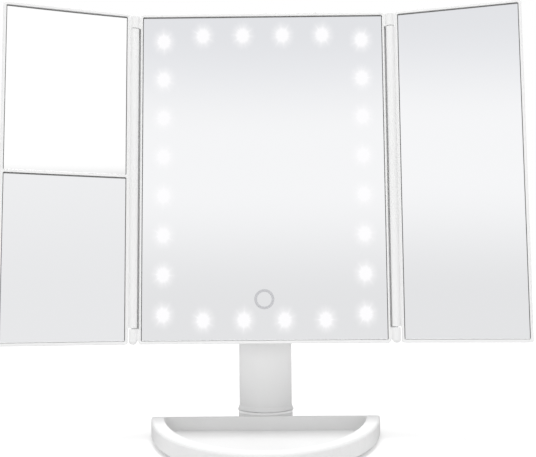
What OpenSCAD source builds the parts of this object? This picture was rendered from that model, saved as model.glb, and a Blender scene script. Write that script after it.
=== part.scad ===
// Trifold table mirror: a lit centre panel with two folding wings, tilting on a
// short post that stands on a D-shaped tray. Millimetres, +Z up, front towards -Y.
// The origin lies on the underside, plumb below the tilt axle.

/* [Mirror panes] */
// Width of the centre pane
glass_w = 160; // [145:1:175]
// Height of the centre pane
glass_h = 216; // [200:1:235]
// Thickness of every pane
glass_t = 2; // [1.5:0.1:2.6]
// Clearance round each pane in its pocket
pane_gap = 0.2; // [0.1:0.05:0.4]
// Depth of a pane below the front edge of its frame
pane_recess = 0.8; // [0.2:0.1:1.2]
// Thickness of the mounting tape behind a pane
tape_t = 0.8; // [0.5:0.1:1.2]
// Height of the bar between the two left panes
bar_h = 1.6; // [1.2:0.1:3]
// Height of the bar's middle above the middle of the wing
bar_up = 0; // [-10:0.1:10]

/* [Frames] */
// Width of the centre frame's rim beside the pane
rim_side = 1.4; // [1.2:0.1:2.5]
// Width of every frame's rim above and below the pane
rim_end = 2; // [1.5:0.1:3]
// Width of a wing's rim along its free edge
wing_rim = 1.8; // [1.4:0.1:3]
// Thickness of the lamp plate behind the centre pane
lamp_plate_t = 1.5; // [1.2:0.1:2]
// Room behind the lamp board for leads
lead_room = 2.7; // [2.2:0.1:4]
// Thickness of the back cover's wall
cover_t = 1.6; // [1.4:0.1:2.4]
// Thickness of a wing's floor behind its tape
wing_floor_t = 2.2; // [1.8:0.1:3]
// Radius of the frames' outer corners
frame_r = 1.5; // [1:0.1:2.5]
// Rounding of the frames' rear edges
edge_r = 1.2; // [0.6:0.1:1.4]

/* [Wing hinges] */
// Diameter of the long hinge barrel
barrel_d = 5.3; // [5:0.1:7]
// Gap between a barrel and the centre frame
hinge_gap = 1.1; // [0.8:0.1:2]
// Length of each end knuckle
knuckle_len = 10; // [8:0.5:14]
// Gap between a knuckle and the barrel's end
knuckle_gap = 0.5; // [0.3:0.1:1]
// Rounding of a knuckle's outer end
knuckle_round = 2; // [1:0.1:2.4]
// Width of the wing's land between barrel and pane
wing_land = 2.5; // [2:0.1:4]
// Gap between the faces of a closed wing and the centre
face_gap = 0.7; // [0.5:0.05:1]
// Gap between the free edges of the two closed wings
meet_gap = 0.8; // [0.6:0.1:2]
// Diameter of the hinge pins
pin_d = 2; // [1.6:0.1:2.2]
// Thickness of the lip that closes the gap behind a barrel
lip_t = 1; // [0.8:0.1:1.4]
// Length of the hinge pins
pin_len = 19; // [15:1:19]
// Fold of the left wing towards the viewer, from flat
fold_left = 20; // [0:1:60]
// Fold of the right wing towards the viewer, from flat
fold_right = 15; // [0:1:60]

/* [Lamps and touch key] */
// Distance of the lamp columns from the pane's side edges
column_in = 13.9; // [12:0.1:16]
// Distance of the first and last column lamps from the pane's ends
column_end = 16.7; // [15.5:0.1:20]
// Distance of the lamp rows from the pane's ends
row_in = 13; // [12:0.1:14.5]
// Spacing of the lamps in the top and bottom rows
row_pitch = 26.6; // [22:0.1:28]
// Diameter of the lamp holes
lamp_hole_d = 9; // [7:0.5:10]
// Thickness of the circuit boards
board_t = 1.2; // [0.8:0.1:1.6]
// Width of the ring-shaped lamp board's band
ring_w = 11; // [10:0.5:12]
// Height of the touch key above the pane's bottom edge
touch_up = 26.5; // [25.5:0.5:40]
// Diameter of the hole behind the touch key
touch_hole_d = 17; // [14:0.5:17]

/* [Tilt joint] */
// Height of the tilt axle above the table
axle_h = 77.5; // [70:0.5:95]
// Lean of the centre panel
lean = 8; // [0:0.5:20]
// Distance of the frame's bottom edge below the axle
panel_drop = 16; // [14:0.5:18]
// Least gap between the post and the panel's back
swing_gap = 3.75; // [3.5:0.25:6]
// Diameter of the tilt bolt
bolt_d = 4; // [3:0.5:5]
// Radius of the tilt ears
ear_r = 8; // [7.5:0.1:9]
// Thickness of the tilt ears
ear_t = 4; // [3:0.5:6]
// Thickness of the friction washers
washer_t = 0.7; // [0.5:0.1:1]

/* [Post] */
// Width of the post
post_w = 35.4; // [30:0.2:40]
// Depth of the post
post_d = 14.5; // [14:0.1:16]
// How far the post's front bows out
post_bow = 8.5; // [6:0.5:9]
// Wall of the post shells
post_wall = 2; // [1.6:0.1:2.4]
// Height of the flare at the post's foot
flare_h = 3; // [3:0.5:8]
// Growth of the flare on each side
flare_out = 1.1; // [0.6:0.1:1.2]

/* [Tray] */
// Width of the tray
tray_w = 153.4; // [140:0.2:170]
// Reach of the bowed front from the widest line
tray_front = 102; // [90:1:110]
// Widest line behind the tilt axle
tray_mid = 4; // [2:0.5:8]
// Reach of the rear edge behind the widest line
tray_rear = 7; // [6:0.5:12]
// Height of the rim above the table
rim_h = 14; // [13:0.1:18]
// Width of the rim band
band_w = 8.5; // [8:0.1:11]
// Depth of the pocket below the rim
pocket_deep = 9.3; // [8:0.1:9.5]
// Pocket's rear wall in front of the tilt axle
pocket_back = 11; // [10.5:0.1:14]
// Wall of the tray moulding
tray_wall = 2; // [1.6:0.1:2.2]
// Rounding of the pocket's rear corners
pocket_r = 1.5; // [1:0.5:4]
// Fall of the rear deck behind the pocket, in degrees
deck_fall = 16; // [8:1:18]
// Height of the collar above the rim
collar_h = 1.6; // [1:0.1:3]
// Thickness of the bottom plate
plate_t = 1.6; // [1.6:0.1:2]
// Thickness of the non-slip pad
pad_t = 1; // [0.6:0.1:1.5]
// Number of stiffening ribs round the front of the rim
rib_count = 9; // [5:2:13]

/* [Power] */
// Diameter of a cell
cell_d = 14.2; // [13.8:0.1:14.5]
// Length of a cell with its button
cell_len = 50.2; // [49:0.1:51]
// Number of cells side by side
cell_count = 4; // [2:1:4]
// Room for the contacts at the ends of the cells
contact_room = 7; // [6:0.5:9]
// Wall of the rear housing
pod_wall = 2.4; // [2:0.1:3]
// Height of the electronics bay above the cells
control_h = 25; // [24:1:32]
// Travel of the power switch
switch_travel = 3; // [2:0.5:4]

/* [Hidden] */

// Clearances
fit = 0.05;
slack = 0.25;
bite = 0.01;

// Centre panel, measured from the tilt axle with the panel upright
knuckle_r = post_d / 2;
cover_back = -(knuckle_r + swing_gap);
cover_front = cover_back - cover_t;
board_back = cover_front - lead_room;
plate_back = board_back - board_t;
plate_front = plate_back - lamp_plate_t;
glass_back = plate_front - tape_t;
glass_front = glass_back - glass_t;
face_y = glass_front - pane_recess;
frame_w = glass_w + 2 * (pane_gap + rim_side);
frame_h = glass_h + 2 * (pane_gap + rim_end);
frame_wall = 2;
panel_z = frame_h / 2 - panel_drop;

// Lamps, from the middle of the pane
lamp_x = glass_w / 2 - column_in;
row_z = glass_h / 2 - row_in;
column_z = glass_h / 2 - column_end;
column_count = 8;
column_pitch = 2 * column_z / (column_count - 1);
row_count = 4;
touch_z = touch_up - glass_h / 2;
LAMPS = concat(
    [for (s = [-1, 1], i = [0:column_count - 1]) [s * lamp_x, i * column_pitch - column_z]],
    [for (s = [-1, 1], i = [0:row_count - 1]) [(i - (row_count - 1) / 2) * row_pitch, s * row_z]]
);

// Wings, measured from their hinge axis with the face behind the axis
barrel_r = barrel_d / 2;
axis_x = frame_w / 2 + hinge_gap + barrel_r;
axis_y = face_y - face_gap / 2;
wing_face = face_gap / 2;
wing_reach = axis_x - meet_gap / 2;
wing_start = barrel_r + 0.5;
wing_pane_x = barrel_r + wing_land;
wing_pane_w = wing_reach - wing_rim - pane_gap - wing_pane_x;
wing_floor = wing_face + pane_recess + glass_t + tape_t;
wing_back = wing_floor + wing_floor_t;
barrel_top = frame_h / 2 - knuckle_len - knuckle_gap;
lip_gap = 0.35;
lip_over = 0.4;

// Rear housing, measured from the tilt axle with the panel upright
cell_pitch = cell_d + 0.5;
bay_w = cell_count * cell_pitch + 1;
bay_len = cell_len + contact_room;
bay_floor_t = 1.5;
pod_z = knuckle_r + 1.8;
bay_z = pod_z + pod_wall;
rib_z = bay_z + bay_len;
control_z = rib_z + 1.6;
pod_top = control_z + control_h + pod_wall;
pod_w = bay_w + 2 * pod_wall;
pod_r = 6;
cell_y = cover_front + slack + cell_d / 2;
lid_t = 1.5;
lid_front = cell_y + cell_d / 2 + 0.4;
pod_back = lid_front + lid_t;
lid_lap = 1.2;
lid_w = bay_w + 2 * lid_lap;
lid_len = bay_len + 2 * lid_lap;
lid_z = bay_z - lid_lap;

// Control board, switch and inlet
control_depth = 8;
control_y = pod_back - control_depth;
control_w = pod_w - 2 * pod_wall - 2 * slack;
control_board_h = 20;
board_post_in = 6;
chip = [6, 1.4, 5];
capacitor_d = 4;
capacitor_h = 4;
control_mid = control_z + control_h / 2;
switch_x = -12;
switch_l = 8.6;
switch_h = 3.6;
knob_l = 7;
knob_h = 3.4;
stem_l = 2;
stem_h = 1.6;
socket_w = 7.6;
socket_t = 2.8;

// Post and its foot
post_hw = post_w / 2;
post_arc = (post_hw * post_hw + post_bow * post_bow) / (2 * post_bow);
collar_top = rim_h + collar_h;
foot_gap = 0.35;
foot_z = collar_top + foot_gap;
spigot_in = 2.4;
socket_floor = 6;
knuckle_hw = post_hw - 0.3;
ear_x = knuckle_hw + washer_t + 2 * fit;
ear_out = ear_x + ear_t;
bush_r = bolt_d / 2 + 1.5;

// Tray
wall_foot = 1.6;
plate_top = pad_t + plate_t;
floor_top = rim_h - pocket_deep;
tray_hw = tray_w / 2;
tray_back = tray_mid + tray_rear;
deck_start = tray_wall - pocket_back - 0.2;
boss_d = 5;
boss_r = boss_d / 2;
screw_d = 2.2;
pilot_d = screw_d - 0.4;
shank_d = pilot_d - 0.02;
head_d = 4.2;
plate_screw_l = 7;
foot_screw_l = 9;
rear_screw_l = 8;
back_screw_l = 4.4;
rib_t = 1.2;
layer_t = 0.1;

// Two-dimensional helpers
module rounded_rect(w, h, r) {
    square([w - 2 * r, h], center = true);
    square([w, h - 2 * r], center = true);
    for (sx = [-1, 1], sy = [-1, 1])
        translate([sx * (w / 2 - r), sy * (h / 2 - r)]) circle(r, $fn = 32);
}

// Extrudes a drawing in X and Z between two places on Y
module slab(y0, y1) {
    translate([0, y1, 0]) rotate([90, 0, 0]) linear_extrude(height = y1 - y0) children();
}

// A rod along X between two places
module rod_x(x0, x1, r, fn = 48) {
    translate([x0, 0, 0]) rotate([0, 90, 0]) cylinder(h = x1 - x0, r = r, $fn = fn);
}

// Places on the leaning centre panel, from the tilt axle or from the panel's middle
module on_head() {
    translate([0, 0, axle_h]) rotate([-lean, 0, 0]) children();
}
module on_panel() {
    on_head() translate([0, 0, panel_z]) children();
}

// Places on a wing, from its hinge axis
module on_right_wing() {
    on_panel() translate([axis_x, axis_y, 0]) rotate([0, 0, -fold_right]) children();
}
module on_left_wing() {
    on_panel() mirror([1, 0, 0]) translate([axis_x, axis_y, 0]) rotate([0, 0, -fold_left]) children();
}

// Self-tapping screw along +Z with its cross-recessed head's top at the origin
module tapping_screw(length, d, top_d, top_t) {
    recess_l = 0.58 * top_d;
    recess_w = 0.14 * top_d;
    difference() {
        union() {
            translate([0, 0, -top_t]) cylinder(h = top_t, d = top_d, $fn = 24);
            translate([0, 0, -length]) cylinder(h = length - top_t, d = d, $fn = 24);
        }
        for (a = [0, 90]) rotate(a) translate([-recess_l / 2, -recess_w / 2, -0.7 * top_t])
            cube([recess_l, recess_w, top_t]);
    }
}

// ---- Tray ----

// Outline of the base: half an ellipse in front, rounded corners behind
function rear_r(inset) = max(min(tray_rear, 6) - inset, 0.4);
function tray_outline(inset) = concat(
    [for (t = [0:6:180]) [(tray_hw - inset) * cos(t), tray_mid - (tray_front - inset) * sin(t)]],
    [for (t = [180:-15:90]) [
        -(tray_hw - inset - rear_r(inset)) + rear_r(inset) * cos(t),
        tray_back - inset - rear_r(inset) + rear_r(inset) * sin(t)]],
    [for (t = [90:-15:0]) [
        tray_hw - inset - rear_r(inset) + rear_r(inset) * cos(t),
        tray_back - inset - rear_r(inset) + rear_r(inset) * sin(t)]]
);

module tray_layer(z, inset) {
    translate([0, 0, z]) linear_extrude(height = layer_t) polygon(tray_outline(inset));
}

// Solid outside of the tray: a rounded foot, an upright wall, a rounded rim and the falling deck
module tray_body() {
    hull() {
        tray_layer(wall_foot, 1.6);
        tray_layer(wall_foot + 0.6, 0.6);
        tray_layer(wall_foot + 1.6, 0);
    }
    hull() for (e = [[1.6, 0], [0.5, 0.45], [0, 1.5]]) intersection() {
        translate([0, 0, wall_foot + 1.6]) linear_extrude(height = rim_h - e[0] - wall_foot - 1.6)
            polygon(tray_outline(e[1]));
        under_deck(e[0]);
    }
}

// Room under the rear deck, which falls away from the top of the pocket's rear wall
module under_deck(drop) {
    translate([0, deck_start, rim_h - drop]) rotate([-deck_fall, 0, 0])
        translate([-tray_w, -2 * tray_w, -tray_w]) cube([2 * tray_w, 4 * tray_w, tray_w]);
}

// Front pocket, grown outwards by grow
module pocket_outline(grow) {
    offset(r = pocket_r + grow, $fn = 32) offset(delta = -pocket_r) intersection() {
        polygon(tray_outline(band_w));
        translate([-tray_w, -pocket_back - 2 * tray_w]) square([2 * tray_w, 2 * tray_w]);
    }
}

// Places of the six plate screws in the hollow band
function band_point(t) = [
    (tray_hw - band_w / 2) * cos(t), tray_mid - (tray_front - band_w / 2) * sin(t)];
rear_boss = [tray_hw - band_w / 2 - 1, tray_back - tray_wall - boss_r - 0.4];
BOSSES = [
    band_point(38), band_point(142), band_point(76), band_point(104),
    rear_boss, [-rear_boss[0], rear_boss[1]]
];

module tray_ribs() {
    for (i = [1:rib_count])
        let (t = 180 * i / (rib_count + 1) + 4 * (i % 2 == 0 ? 1 : -1))
            translate(band_point(t)) rotate(atan2(-tray_front * sin(t), tray_hw * cos(t)))
                square([band_w, rib_t], center = true);
    for (s = [-1, 1], x = [30, 48])
        translate([s * x, (tray_back - pocket_back) / 2]) square([rib_t, tray_back + pocket_back], center = true);
}

module base_tray() {
    color("white") difference() {
        union() {
            difference() {
                tray_body();
                translate([0, 0, floor_top]) linear_extrude(height = rim_h) pocket_outline(0);
                translate([0, 0, -1]) linear_extrude(height = plate_top + 1)
                    polygon(tray_outline(tray_wall));
                intersection() {
                    translate([0, 0, 1]) linear_extrude(height = rim_h - tray_wall - 1) difference() {
                        polygon(tray_outline(tray_wall));
                        pocket_outline(tray_wall);
                        tray_ribs();
                        for (p = BOSSES) translate(p) circle(d = boss_d, $fn = 24);
                        post_plan(tray_wall);
                    }
                    under_deck(tray_wall);
                }
                translate([0, 0, plate_top - 1]) linear_extrude(height = floor_top - tray_wall - plate_top + 1)
                    pocket_outline(tray_wall + 1);
                translate([0, 0, plate_top - 1]) linear_extrude(height = socket_floor - tray_wall - plate_top + 1)
                    post_plan(0);
            }
            translate([0, 0, socket_floor]) linear_extrude(height = collar_top - socket_floor) post_plan(flare_out - 0.6);
        }
        for (p = BOSSES) translate([p[0], p[1], 0])
            cylinder(h = pad_t + plate_screw_l + 0.5, d = pilot_d, $fn = 24);
        translate([0, 0, socket_floor]) linear_extrude(height = rim_h) post_plan(slack - spigot_in);
        for (s = [-1, 1]) translate([s * foot_screw_x, foot_screw_y, 0])
            cylinder(h = rim_h, d = 3, $fn = 24);
    }
}

module base_plate() {
    color("white") difference() {
        translate([0, 0, pad_t]) linear_extrude(height = plate_t) polygon(tray_outline(tray_wall + slack));
        for (p = BOSSES) translate([p[0], p[1], 0]) {
            cylinder(h = rim_h, d = screw_d + 0.4, $fn = 24);
            translate([0, 0, pad_t - 1]) cylinder(h = 1 + plate_t * 0.6, d = 4.6, $fn = 24);
        }
    }
}

module base_pad() {
    color("dimgray") linear_extrude(height = pad_t) polygon(tray_outline(tray_wall + 4));
}

module base_screws() {
    for (p = BOSSES) color("silver") translate([p[0], p[1], pad_t + plate_t * 0.6 - 0.9])
        rotate([180, 0, 0]) tapping_screw(plate_screw_l, shank_d, head_d, 0.9);
}

// ---- Post ----

foot_screw_x = 9;
foot_screw_y = -1.2;
rear_screws = [foot_z + 14, axle_h - 27];
sleeve_d = 4.8;
sleeve_y = knuckle_r - post_wall - 1.4;

// Cross-section of the post: a bowed front, flat flanks and a flat back
module post_plan(grow) {
    intersection() {
        translate([0, post_arc - knuckle_r]) circle(post_arc + grow, $fn = 180);
        translate([0, -knuckle_r]) rounded_rect(2 * (post_hw + grow), 4 * knuckle_r + 2 * grow, 2);
    }
}

// Post with its foot flare and round top; inset hollows it
module post_form(inset) {
    intersection() {
        union() {
            translate([0, 0, foot_z + flare_h]) linear_extrude(height = 2 * axle_h)
                post_plan(-inset);
            translate([0, 0, foot_z + flare_h]) mirror([0, 0, 1]) linear_extrude(height = flare_h,
                scale = [(post_hw + flare_out) / post_hw, (knuckle_r + flare_out) / knuckle_r])
                post_plan(-inset);
        }
        union() {
            translate([-post_w, -post_w, 0]) cube([2 * post_w, 2 * post_w, axle_h]);
            translate([0, 0, axle_h]) rod_x(-post_w, post_w, knuckle_r, 96);
        }
    }
}

module post_half(side) {
    difference() {
        intersection() {
            difference() {
                union() {
                    post_form(0);
                    translate([0, 0, axle_h]) rod_x(-knuckle_hw, knuckle_hw, knuckle_r - 0.4, 96);
                    translate([0, 0, socket_floor + fit]) linear_extrude(height = foot_z - socket_floor)
                        post_plan(-spigot_in);
                }
                translate([0, 0, foot_z + flare_h])
                    linear_extrude(height = axle_h - knuckle_r - foot_z - flare_h) post_plan(-post_wall);
            }
            translate([-post_w, side > 0 ? 0 : -post_w, 0]) cube([2 * post_w, post_w, 2 * axle_h]);
        }
        translate([0, 0, axle_h]) rod_x(-post_w, post_w, bush_r + fit, 64);
        for (s = [-1, 1]) translate([s * post_w, 0, axle_h]) {
            translate([-(post_w - knuckle_hw), -post_w, -knuckle_r - 1])
                cube([2 * (post_w - knuckle_hw), 2 * post_w, 3 * knuckle_r]);
        }
        for (s = [-1, 1]) translate([s * foot_screw_x, foot_screw_y, 0])
            cylinder(h = socket_floor + 7, d = pilot_d, $fn = 24);
        if (side > 0) for (z = rear_screws) translate([0, sleeve_y, z]) rotate([-90, 0, 0])
            cylinder(h = post_w, d = sleeve_d, $fn = 32);
    }
}

// The front shell has pillars that take the screws of the rear shell
module post_front_shell() {
    color("white") {
        post_half(-1);
        for (z = rear_screws) translate([0, 0, z]) rotate([90, 0, 0]) difference() {
            cylinder(h = knuckle_r - post_wall / 2, d = boss_d, $fn = 24);
            translate([0, 0, -1]) cylinder(h = 5.5, d = pilot_d, $fn = 24);
        }
    }
}

module post_rear_shell() {
    color("white") {
        post_half(1);
        for (z = rear_screws) translate([0, 0, z]) rotate([-90, 0, 0]) difference() {
            cylinder(h = knuckle_r - post_wall / 2, d = sleeve_d + 2.4, $fn = 32);
            translate([0, 0, -1]) cylinder(h = knuckle_r, d = screw_d + 0.4, $fn = 24);
            translate([0, 0, sleeve_y]) cylinder(h = knuckle_r, d = sleeve_d, $fn = 32);
        }
    }
}

module post_screws() {
    color("silver") {
        for (s = [-1, 1]) translate([s * foot_screw_x, foot_screw_y, socket_floor - tray_wall - 1.3])
            rotate([180, 0, 0]) tapping_screw(foot_screw_l, shank_d, head_d, 1.2);
        for (z = rear_screws) translate([0, sleeve_y + 1.3, z])
            rotate([-90, 0, 0]) tapping_screw(rear_screw_l, shank_d, head_d, 1.2);
    }
}

module tilt_bush() {
    color("gainsboro") translate([0, 0, axle_h]) difference() {
        rod_x(-knuckle_hw, knuckle_hw, bush_r, 64);
        rod_x(-post_w, post_w, bolt_d / 2 + fit, 64);
    }
}

// ---- Centre panel ----

module center_frame() {
    color("white") on_panel() {
        difference() {
            hull() {
                slab(face_y, face_y + 0.4) rounded_rect(frame_w - 0.6, frame_h - 0.6, frame_r);
                slab(face_y + 0.3, cover_front) rounded_rect(frame_w, frame_h, frame_r);
            }
            slab(face_y - 1, plate_front)
                rounded_rect(glass_w + 2 * pane_gap, glass_h + 2 * pane_gap, 0.8);
            slab(plate_back, cover_front + 1)
                rounded_rect(frame_w - 2 * frame_wall, frame_h - 2 * frame_wall, frame_r);
            slab(plate_front - 1, plate_back + 1) {
                for (p = LAMPS) translate(p) circle(d = lamp_hole_d, $fn = 24);
                translate([0, touch_z]) circle(d = touch_hole_d, $fn = 32);
            }
        }
        for (p = COVER_SCREWS) translate([p[0], 0, p[1]]) difference() {
            slab(plate_back - bite, cover_front) circle(d = boss_d, $fn = 24);
            slab(plate_back + 0.8, cover_front + 1) circle(d = pilot_d, $fn = 24);
        }
        for (s = [-1, 1], e = [-1, 1]) translate([s * axis_x, axis_y, e * frame_h / 2])
            scale([s, 1, e]) hinge_knuckle();
        for (s = [-1, 1]) scale([s, 1, 1]) hinge_lip();
    }
}

// Lip on the right side of the frame, behind the barrel and between the knuckles
module hinge_lip() {
    lip_w = hinge_gap + barrel_r + rim_side;
    translate([axis_x + lip_over - lip_w / 2, 0]) slab(axis_y + barrel_r + lip_gap, axis_y + barrel_r + lip_gap + lip_t)
        square([lip_w, frame_h - 2 * frame_r - 1], center = true);
}

// Knuckle at the upper right corner, its rounded end at the top
module hinge_knuckle() {
    difference() {
        union() {
            rotate_extrude($fn = 48) polygon(concat(
                [[0, -knuckle_len], [barrel_r, -knuckle_len]],
                [for (t = [0:15:90]) [
                    barrel_r - knuckle_round + knuckle_round * cos(t),
                    -knuckle_round + knuckle_round * sin(t)]],
                [[0, 0]]
            ));
            translate([-(hinge_gap + barrel_r + rim_side / 2), wing_face, -knuckle_len])
                cube([hinge_gap + barrel_r + rim_side / 2, barrel_r - wing_face - 0.2,
                    knuckle_len - knuckle_round]);
        }
        translate([0, 0, -knuckle_len - 1]) cylinder(h = pin_hold + 1 + fit, r = pin_d / 2 + fit / 2, $fn = 32);
    }
}

// Half of a pin is held by the knuckle and the rest runs in the barrel
pin_hold = knuckle_len - 1.5;
pin_run = pin_len - pin_hold - knuckle_gap;

module hinge_pins() {
    color("silver") on_panel() for (s = [-1, 1], e = [-1, 1])
        translate([s * axis_x, axis_y, e * (frame_h / 2 - 1.5 - pin_len / 2)])
            cylinder(h = pin_len, d = pin_d, center = true, $fn = 32);
}

// Screws of the back cover, from the panel's middle
cover_screw_x = frame_w / 2 - frame_wall - boss_r - 0.3;
cover_screw_z = frame_h / 2 - frame_wall - boss_r - 0.3;
COVER_SCREWS = [for (s = [-1, 1], z = [-cover_screw_z, 0, cover_screw_z]) [s * cover_screw_x, z]];

module center_glass() {
    color("lightsteelblue") on_panel() slab(glass_front, glass_back) rounded_rect(glass_w, glass_h, 0.6);
}

module center_tape() {
    tape_w = 10;
    color("whitesmoke") on_panel() slab(glass_back, plate_front)
        for (x = [-1, 1] * (glass_w / 4)) translate([x, 0])
            square([tape_w, 2 * column_z - 2 * lamp_hole_d], center = true);
}

module led_board() {
    color("seagreen") on_panel() slab(plate_back, board_back) difference() {
        rounded_rect(2 * lamp_x + ring_w, 2 * row_z + ring_w, 3);
        rounded_rect(2 * lamp_x - ring_w, 2 * row_z - ring_w, 2);
        for (s = [-1, 1], e = [-1, 1])
            translate([s * (lamp_x + ring_w / 2), e * (row_z + ring_w / 2)]) circle(d = 4, $fn = 24);
    }
}

module leds() {
    led = [3.5, 2.8];
    color("lightyellow") on_panel() for (p = LAMPS) translate([p[0], 0, p[1]]) {
        slab(plate_back - 0.8, plate_back) square(led, center = true);
        slab(plate_back - 1, plate_back - 0.8 + bite) circle(d = 2.4, $fn = 16);
    }
}

module touch_board() {
    color("seagreen") on_panel() slab(plate_back, board_back) translate([0, touch_z])
        rounded_rect(touch_hole_d + 5, 2 * (touch_up - row_in) - ring_w - 0.6, 1);
}

module touch_foam() {
    color("gray") on_panel() slab(glass_back, plate_back) translate([0, touch_z])
        circle(d = touch_hole_d - 4, $fn = 32);
}

// ---- Rear housing ----

module ear_side() {
    circle(ear_r, $fn = 64);
    polygon([[-ear_r, 0], [ear_r, 0], [pod_back, pod_z + 1], [cover_front, pod_z + 1], [cover_front, ear_r]]);
}

module back_cover() {
    color("white") {
        on_head() at_board_posts() {
            slab(control_y + board_t, pod_back - pod_wall / 2) circle(d = 4.6, $fn = 24);
            slab(control_y - 0.6, control_y + board_t + bite) circle(d = 2.2, $fn = 24);
        }
        difference() {
            union() {
                on_panel() hull() {
                    slab(cover_front, cover_back - edge_r + bite) rounded_rect(frame_w, frame_h, frame_r);
                    slab(cover_back - edge_r / 2, cover_back - edge_r * 0.3)
                        rounded_rect(frame_w - 0.6 * edge_r, frame_h - 0.6 * edge_r, frame_r);
                    slab(cover_back - 0.02, cover_back)
                        rounded_rect(frame_w - 2 * edge_r, frame_h - 2 * edge_r, frame_r);
                }
                on_head() translate([0, 0, (pod_z + pod_top) / 2]) hull() {
                    slab(cover_front, pod_back - 1.2) rounded_rect(pod_w, pod_top - pod_z, pod_r);
                    slab(pod_back - 0.02, pod_back) rounded_rect(pod_w - 1.6, pod_top - pod_z - 1.6, pod_r - 0.8);
                }
                on_head() translate([0, 0, (bay_z + rib_z) / 2]) slab(cover_front - bay_floor_t, cover_front + cover_t / 2)
                    square([bay_w + 2 * bay_floor_t, bay_len + 2 * bay_floor_t], center = true);
                on_head() for (s = [-1, 1]) translate([s * (ear_x + ear_out) / 2, 0, 0])
                    rotate([90, 0, 90]) linear_extrude(height = ear_t, center = true) ear_side();
            }
            // cell bay and the seat of its lid
            on_head() translate([-bay_w / 2, cover_front, bay_z]) cube([bay_w, 60, bay_len]);
            on_head() translate([-lid_w / 2, lid_front, lid_z]) cube([lid_w, 60, lid_len]);
            // electronics bay, open towards the panel
            on_head() translate([-pod_w / 2 + pod_wall, cover_front - 1, control_z])
                cube([pod_w - 2 * pod_wall, pod_back - cover_front + 1 - pod_wall, control_h]);
            // slot of the power switch and mouth of the inlet
            on_head() translate([switch_x - stem_l / 2 - switch_travel - slack, 0, control_mid - stem_h / 2 - slack])
                cube([stem_l + switch_travel + 2 * slack, 60, stem_h + 2 * slack]);
            on_head() translate([switch_x - knob_l / 2 - switch_travel - slack, pod_back - 0.8,
                control_mid - knob_h / 2 - slack])
                cube([knob_l + switch_travel + 2 * slack, 60, knob_h + 2 * slack]);
            on_head() translate([0, control_y - socket_t - slack, control_mid - socket_w / 2 - slack])
                cube([60, socket_t + 2 * slack, socket_w + 2 * slack]);
            // tilt bolt
            on_head() rod_x(-post_w, post_w, bolt_d / 2 + fit, 64);
            on_panel() for (p = COVER_SCREWS) translate([p[0], 0, p[1]]) {
                slab(cover_front - 1, cover_back + 1) circle(d = screw_d + 0.4, $fn = 24);
                slab(cover_back - 0.8, cover_back + 1) circle(d = 4.6, $fn = 24);
            }
        }
    }
}

module back_screws() {
    color("silver") on_panel() for (p = COVER_SCREWS) translate([p[0], cover_back - 0.1, p[1]])
        rotate([-90, 0, 0]) tapping_screw(back_screw_l, shank_d, head_d, 0.7);
}

// Lid of the cell bay with its finger notch and snap tongue
module battery_cover() {
    gap = 0.2;
    color("white") on_head() {
        difference() {
            translate([0, 0, lid_z + lid_len / 2]) slab(lid_front, pod_back)
                rounded_rect(lid_w - 2 * gap, lid_len - 2 * gap, 1);
            for (i = [0:4]) translate([-8, pod_back - 0.5, lid_z + lid_len - 14 + 2 * i])
                cube([16, 1, 0.9]);
        }
        for (s = [-1, 1]) translate([s * bay_w / 4 - 4, lid_front - 1.6, bay_z + gap])
            cube([8, 1.6 + bite, 1.2]);
    }
}

cell_z = bay_z + (bay_len - cell_len) / 2;
function cell_x(i) = (i - (cell_count - 1) / 2) * cell_pitch;

module cell() {
    cylinder(h = cell_len - 1.2, d = cell_d, $fn = 48);
    cylinder(h = cell_len, d = 5.4, $fn = 24);
}

module batteries() {
    color("darkseagreen") on_head() for (i = [0:cell_count - 1])
        translate([cell_x(i), cell_y, cell_z + (i % 2 == 0 ? 0 : cell_len)])
            rotate([i % 2 == 0 ? 0 : 180, 0, 0]) cell();
}

// Sweeps a small round wire along points
module wire(path, r, sides) {
    count = len(path);
    polyhedron(
        points = [for (i = [0:count - 1], k = [0:sides - 1])
            let (
                a = path[max(i - 1, 0)],
                b = path[min(i + 1, count - 1)],
                d = (b - a) / norm(b - a),
                u = cross(d, [0, 0, 1]) / norm(cross(d, [0, 0, 1])),
                v = cross(u, d)
            ) path[i] + r * (cos(360 * k / sides) * u + sin(360 * k / sides) * v)],
        faces = concat(
            [[for (k = [0:sides - 1]) k]],
            [for (i = [0:count - 2], k = [0:sides - 1])
                [i * sides + k, (i + 1) * sides + k, (i + 1) * sides + (k + 1) % sides]],
            [for (i = [0:count - 2], k = [0:sides - 1])
                [i * sides + k, (i + 1) * sides + (k + 1) % sides, i * sides + (k + 1) % sides]],
            [[for (k = [sides - 1:-1:0]) (count - 1) * sides + k]]
        )
    );
}

// Tapered contact spring that stands on the end wall and presses on a cell
spring_turns = 3;
spring_steps = 12;
wire_r = 0.35;
plate_gap = 0.4;
spring_h = contact_room / 2 - plate_gap - 0.1;
spring_foot_r = 0.32 * cell_d;
spring_top_r = 0.14 * cell_d;
function spring_point(i) =
    let (q = i / (spring_turns * spring_steps), r = spring_foot_r + (spring_top_r - spring_foot_r) * q, t = 360 * i / spring_steps)
        [r * cos(t), r * sin(t), wire_r + (spring_h - 2 * wire_r) * q];

module battery_springs() {
    color("silver") on_head() for (i = [0:cell_count - 1])
        translate([cell_x(i), cell_y, i % 2 == 0 ? bay_z + plate_gap : rib_z - plate_gap])
            rotate([i % 2 == 0 ? 0 : 180, 0, 0])
                wire([for (k = [0:spring_turns * spring_steps]) spring_point(k)], wire_r, 6);
}

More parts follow.
